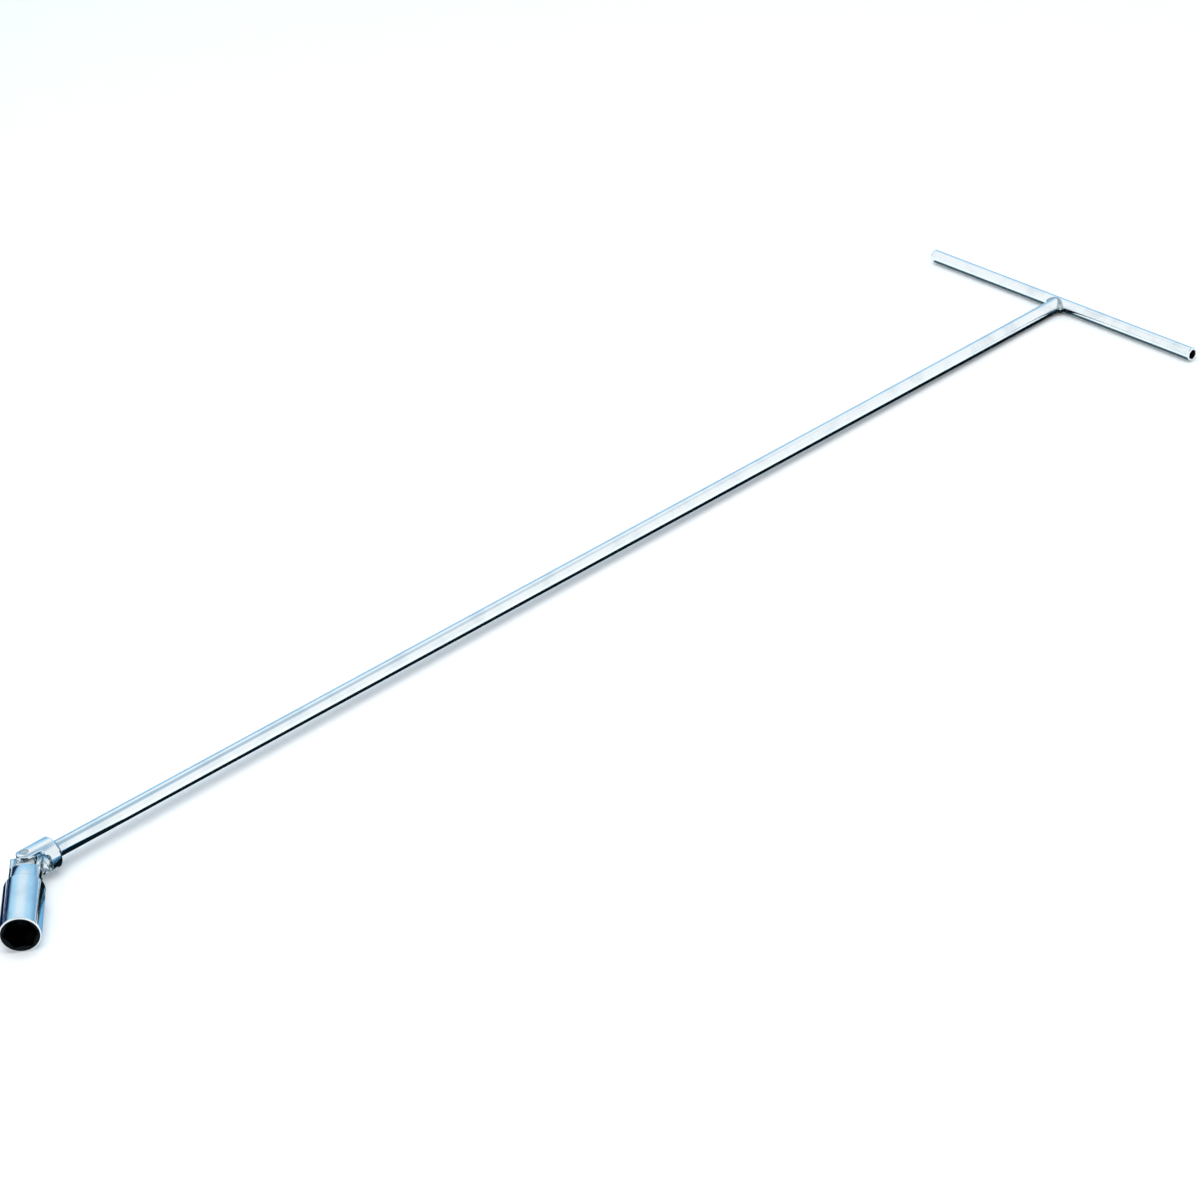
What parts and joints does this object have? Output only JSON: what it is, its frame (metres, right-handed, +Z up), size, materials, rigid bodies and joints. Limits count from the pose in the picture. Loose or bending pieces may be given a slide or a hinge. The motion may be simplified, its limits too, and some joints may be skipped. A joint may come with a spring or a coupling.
{
  "type": "t-handle swivel socket wrench",
  "caption": "Long T-handle wheel-nut wrench: a slim chromed rod with a welded cross bar and a deep hexagon socket on a pinned universal joint.",
  "frame": {"origin": "centre of the hexagon socket's mouth, on its axis", "axes": "+Y along the socket's axis into the wrench, +Z up with the wrench lying flat, the rod running off towards +X and +Y"},
  "size_m": [0.855, 0.7333, 0.026],
  "materials": {
    "chrome_tube": "bright chrome plate on drawn tube",
    "chrome_rod": "bright chrome plate on drawn rod",
    "chrome_weld": "chrome plate over a weld bead",
    "chrome_fork": "bright chrome plate on machined forging",
    "chrome_socket": "bright chrome plate on a turned socket",
    "steel_block": "satin ground steel",
    "steel_pin": "ground steel with peened ends"
  },
  "bodies": {
    "shaft": {"handle_bar": "chrome_tube", "handle_weld": "chrome_weld", "shaft_rod": "chrome_rod", "shaft_yoke": "chrome_fork", "shaft_yoke_weld": "chrome_weld"},
    "cross": {"centre_block": "steel_block", "long_pin": "steel_pin"},
    "socket": {"short_pin": "steel_pin", "socket_yoke": "chrome_fork", "socket_shell": "chrome_socket", "socket_lock_pin": "steel_pin"}
  },
  "joints": [
    {"name": "fork_swing", "type": "hinge", "parent": "shaft", "child": "cross", "pos_m": [0, 0.071, 0], "axis": [0.006, 0.0044, 1], "range_deg": [-124, 16]},
    {"name": "socket_tilt", "type": "hinge", "parent": "cross", "child": "socket", "pos_m": [0, 0.071, 0], "axis": [1, 0, -0.006], "range_deg": [-20, 20]}
  ]
}
